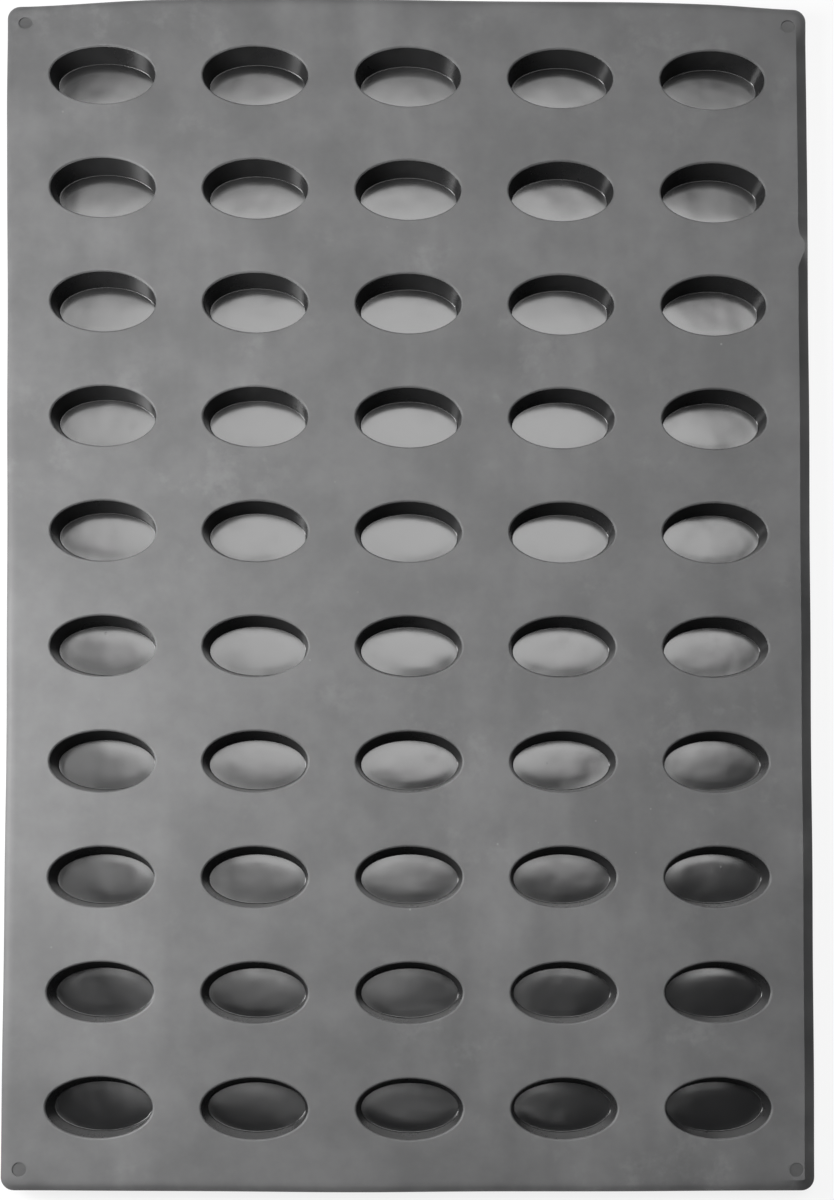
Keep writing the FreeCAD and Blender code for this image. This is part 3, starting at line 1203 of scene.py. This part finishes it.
@dataclass(frozen=True)
class SiliconeFinish:
    """Dark silicone: satin where the tool was blasted, bright where it was polished. The polished zones also
    get a far darker colour, partly for the polish and partly as painted shade inside the cups and on the
    right-hand bevel.
    """

    satin: Zone = Zone(
        colour=(0.068, 0.068, 0.069), roughness=0.6, by_clouds=0.12, by_broad=0.10, by_smudges=0.06,
        bloom=1.0, specks=0.9, grain=0.0112, swell=0.06)
    # Painted shade: this colour, far darker than the satin's, is partly the polish's own look and partly the
    # shade inside the cups painted in.
    polished_and_shaded: Zone = Zone(
        colour=(0.009, 0.009, 0.0093), roughness=0.20, by_clouds=0.10, by_broad=0.0, by_smudges=0.05,
        bloom=0.03, specks=0.3, grain=0.0012, swell=0.68)
    bloom: Point3 = (0.19, 0.19, 0.191)
    specular_level: float = 0.75

    broad: Pattern = Pattern(9, 3, 0.55, (0.44, 0.60))
    clouds: Pattern = Pattern(34, 5, 0.6, (0.26, 0.78), shift=(3.1, 1.7, 0.0))
    wipes: Pattern = Pattern(16, 4, 0.6, (0.48, 0.75), (1.0, 0.22, 1.0), (0.4, 5.2, 0.0))
    smudges: Pattern = Pattern(48, 6, 0.66, (0.53, 0.68), shift=(9.0, 4.0, 1.0))
    dusty: Pattern = Pattern(11, 2, 0.5, (0.50, 0.62), shift=(2.0, 8.0, 3.0))
    grain: Pattern = Pattern(2600, 2, 0.6)
    swell: Pattern = Pattern(38, 2, 0.35, shift=(5.0, 2.0, 7.0))

    clouds_bloom: float = 0.36
    smudges_bloom: float = 0.24
    wipes_bloom: float = 0.26
    speck_scale: float = 62.0
    speck_size: Point2 = (0.045, 0.02)
    speck_roughness: float = 0.2
    speck_height: float = 0.02
    relief: float = 1 * MM

    def build(self) -> bpy.types.Material:
        """Make the material.

        Returns:
            The material.
        """
        material = bpy.data.materials.new("dark_silicone")
        graph = Graph.emptied(material)
        place = graph.node("ShaderNodeTexCoord", {}, {}, "Object")
        polish = graph.node("ShaderNodeAttribute", {"attribute_name": "polish"}, {}, "Fac").clamped()
        matt = 1 - polish

        def by_zone(satin: float, polished_and_shaded: float) -> Socket:
            """A strength that goes over from its satin value to its polished one."""
            return matt * (satin - polished_and_shaded) + polished_and_shaded

        def mask(pattern: Pattern) -> Socket:
            """A pattern as a mask of its own."""
            return pattern.draw(graph, place).between(*pattern.span)

        broad, clouds = self.broad.draw(graph, place), self.clouds.draw(graph, place)
        smudges = mask(self.smudges) * broad.between(*self.broad.span)
        dust = graph.node("ShaderNodeTexVoronoi", {}, {
            "Vector": place, "Scale": self.speck_scale}, "Distance")
        specks = dust.between(*self.speck_size) * mask(self.dusty)
        satin, polished_and_shaded = self.satin, self.polished_and_shaded

        bloom = (clouds.between(*self.clouds.span) * self.clouds_bloom + smudges * self.smudges_bloom
                 + mask(self.wipes) * self.wipes_bloom)
        bloom = bloom * by_zone(satin.bloom, polished_and_shaded.bloom) + specks * by_zone(satin.specks, polished_and_shaded.specks)
        # Painted shade: the colour goes over to the polished zone's darker one where the polish value is
        # high, inside the cups and on the right-hand bevel.
        colour = self._mixed(graph, polish, (*satin.colour, 1.0), (*polished_and_shaded.colour, 1.0))
        colour = self._mixed(graph, bloom.clamped(), colour, (*self.bloom, 1.0))

        def roughness(zone: Zone) -> Socket:
            """A zone's roughness, with what varies it."""
            varied = (clouds - 0.5) * zone.by_clouds + (broad - 0.5) * zone.by_broad
            return zone.roughness + varied + smudges * zone.by_smudges

        rough = roughness(satin) * matt + roughness(polished_and_shaded) * polish + specks * self.speck_roughness
        grain = self.grain.draw(graph, place) * by_zone(satin.grain, polished_and_shaded.grain)
        swell = self.swell.draw(graph, place) * by_zone(satin.swell, polished_and_shaded.swell)
        normal = graph.node("ShaderNodeBump", {}, {
            "Height": grain + swell + specks * self.speck_height, "Strength": 1.0, "Distance": self.relief,
        }, "Normal")
        surface = graph.node("ShaderNodeBsdfPrincipled", {}, {
            "Base Color": colour,
            "Roughness": rough.clamped(),
            "Specular IOR Level": self.specular_level,
            "Normal": normal,
        })
        graph.add("ShaderNodeOutputMaterial", {}, {"Surface": surface})
        return material

    @staticmethod
    def _mixed(graph: Graph, share: Socket, first: Socket | tuple, second: Socket | tuple) -> Socket:
        """One colour that goes over into another with the share."""
        values = {"Factor": share, "A": first, "B": second}
        return graph.node("ShaderNodeMix", {"data_type": "RGBA"}, values, "Result")


# The studio


def seen_directly(graph: Graph) -> Socket:
    """1 for a ray from the camera, or one that polish or glass sends on, and 0 for a lighting ray.

    Args:
        graph: The tree of a material or of the surroundings.

    Returns:
        The share.
    """
    ray = graph.add("ShaderNodeLightPath", {}, {})
    kinds = ("Is Camera Ray", "Is Glossy Ray", "Is Transmission Ray")
    first, second, third = (Socket(graph, ray.outputs[kind]) for kind in kinds)
    return (first + second + third).clamped()


@dataclass(frozen=True)
class SoftBox:
    """A soft lamp of even brightness, oblong or oval."""

    name: str
    place: Point3
    aim: Point3
    size: Point2
    radiance: float
    oval: bool = False

    def build(self) -> None:
        """Hang the lamp."""
        lamp = bpy.data.lights.new(self.name, "AREA")
        lamp.shape = "ELLIPSE" if self.oval else "RECTANGLE"
        lamp.size, lamp.size_y = self.size
        filled = math.pi / 4 if self.oval else 1.0
        lamp.energy = self.radiance * self.size[0] * self.size[1] * filled * math.pi
        made = bpy.data.objects.new(self.name, lamp)
        made.location = self.place
        made.rotation_euler = (Vector(self.aim) - Vector(self.place)).to_track_quat("-Z", "Y").to_euler()
        made.visible_camera = False
        bpy.context.scene.collection.objects.link(made)


def panel(name: str, x: Point2, y: Point2, height: float, radiance: float) -> SoftBox:
    """A level oval lamp that covers a range of places above the mould.

    Args:
        name: The lamp's name.
        x: Its range across.
        y: Its range along.
        height: Its height.
        radiance: Its brightness.

    Returns:
        The lamp, which faces straight down.
    """
    middle = ((x[0] + x[1]) / 2, (y[0] + y[1]) / 2)
    size = (x[1] - x[0], y[1] - y[0])
    return SoftBox(name, (*middle, height), (*middle, 0.0), size, radiance, oval=True)


@dataclass(frozen=True)
class Studio:
    """A plain white floor, a bank of soft lamps overhead and one from the left."""

    floor_radius: float = 8.0
    floor_inner_radius: float = 2.0
    floor_steps: int = 96
    floor_grey: float = 0.86
    shade: float = 0.17
    fade: Point2 = (0.7, 2.0)
    sky_colour: Point3 = (0.93, 0.96, 1.0)
    sky_dim: float = 0.07
    horizon: Point2 = (0.30, 0.10)
    lamps: tuple[SoftBox, ...] = (
        panel("broad_bank", x=(-1.52, 1.54), y=(0.15, 3.35), height=4.00, radiance=3.2),
        panel("core_bank", x=(-1.38, 1.32), y=(0.45, 2.50), height=3.99, radiance=3.3),
        panel("near_bank", x=(-1.05, -0.08), y=(-0.42, 0.60), height=3.98, radiance=1.6),
        panel("low_strip", x=(-0.20, 0.30), y=(-0.66, -0.46), height=4.00, radiance=4.0),
        SoftBox("left_box", (-0.58, 0.0, 0.42), aim=(0.0, 0.0, 0.0), size=(0.22, 0.55), radiance=18.5),
    )

    def _floor(self) -> bpy.types.Object:
        """A round level floor.

        Returns:
            The floor's object.
        """
        mesh = RingMesh()
        rings = []
        for radius in (self.floor_radius, self.floor_inner_radius):
            circle = [(radius * math.cos(turn), radius * math.sin(turn), 0.0)
                      for turn in once_round(self.floor_steps)]
            rings.append(mesh.ring(circle, PolishAndShade.MATT))
        mesh.close_in(rings, (0.0, 0.0, 0.0), PolishAndShade.MATT)
        return mesh.to_object("studio_floor")

    def _floor_material(self) -> bpy.types.Material:
        """White that keeps the object's shadow: part lit near the object, plain white further off.

        Returns:
            The floor's material.
        """
        material = bpy.data.materials.new("studio_white")
        graph = Graph.emptied(material)
        place = graph.node("ShaderNodeTexCoord", {}, {}, "Object")
        away = graph.node("ShaderNodeVectorMath", {"operation": "LENGTH"}, {0: place}, "Value")
        plain = away.between(*self.fade) * self.shade + (1 - self.shade)
        grey = (self.floor_grey, self.floor_grey, self.floor_grey, 1.0)
        lit = graph.node("ShaderNodeBsdfDiffuse", {}, {"Color": grey})
        white = graph.node("ShaderNodeEmission", {}, {"Color": WHITE, "Strength": 1.0})
        mixed = graph.node("ShaderNodeMixShader", {}, {0: seen_directly(graph) * plain, 1: lit, 2: white})
        graph.add("ShaderNodeOutputMaterial", {}, {"Surface": mixed})
        return material

    def _surroundings(self) -> bpy.types.World:
        """A dim studio round the object, with a white backdrop where the camera looks and low down.

        Returns:
            The world.
        """
        world = bpy.data.worlds.new("studio_round")
        graph = Graph.emptied(world)
        camera = graph.node("ShaderNodeLightPath", {}, {}, "Is Camera Ray")
        other = (seen_directly(graph) - camera).clamped()
        where = graph.node("ShaderNodeTexCoord", {}, {}, "Generated")
        up = graph.node("ShaderNodeSeparateXYZ", {}, {"Vector": where}, "Z")
        share = (camera + other * up.between(*self.horizon)).clamped()
        dim = graph.node("ShaderNodeBackground", {}, {
            "Color": (*self.sky_colour, 1.0), "Strength": self.sky_dim})
        white = graph.node("ShaderNodeBackground", {}, {"Color": WHITE, "Strength": 1.0})
        mixed = graph.node("ShaderNodeMixShader", {}, {0: share, 1: dim, 2: white})
        graph.add("ShaderNodeOutputWorld", {}, {"Surface": mixed})
        return world

    def build(self) -> None:
        """Lay the floor, hang the lamps and set the surroundings."""
        floor = self._floor()
        floor.data.materials.append(self._floor_material())
        for lamp in self.lamps:
            lamp.build()
        bpy.context.scene.world = self._surroundings()


@dataclass(frozen=True)
class PhotographCamera:
    """The camera at the photograph's place, nearly straight above the mould's near half."""

    place: Point3 = (0.0069, -0.1996, 0.7435)
    turn: Point3 = (1.275, -1.135, -0.114)
    lens: float = 44.58
    sensor_width: float = 36.0
    shift: Point2 = (-0.03, 0.30)
    clip: Point2 = (0.01, 20.0)

    def build(self) -> None:
        """Set up the scene's camera."""
        data = bpy.data.cameras.new("photograph_camera")
        data.sensor_width = self.sensor_width
        data.lens = self.lens
        data.shift_x, data.shift_y = self.shift
        data.clip_start, data.clip_end = self.clip
        camera = bpy.data.objects.new("photograph_camera", data)
        camera.location = self.place
        camera.rotation_euler = [math.radians(angle) for angle in self.turn]
        bpy.context.scene.collection.objects.link(camera)
        bpy.context.scene.camera = camera


def make_mould() -> bpy.types.Object:
    """Returns:
        The finished piece.
    """
    silicone = SiliconeFinish().build()
    cell = CupCell().build()
    rim = RimBand().build()
    mould = CupField().build(rim, cell, silicone)
    CornerMarks().cut(mould)
    face_outwards(mould)
    Lie().lay(mould)
    even_normals(mould)
    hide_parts(NODE)
    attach(mould, "root")
    return mould


def main() -> None:
    """Build the mould, the studio and the camera, in that order."""
    logging.basicConfig(level=logging.INFO, format="%(name)s: %(message)s")
    mould = make_mould()
    mould.data.calc_loop_triangles()
    LOG.info("%s: %d triangles", mould.name, len(mould.data.loop_triangles))
    Studio().build()
    PhotographCamera().build()
    scene = bpy.context.scene
    scene.view_settings.view_transform = "Standard"
    LOG.info("sizes written")


if __name__ == "__main__":
    main()
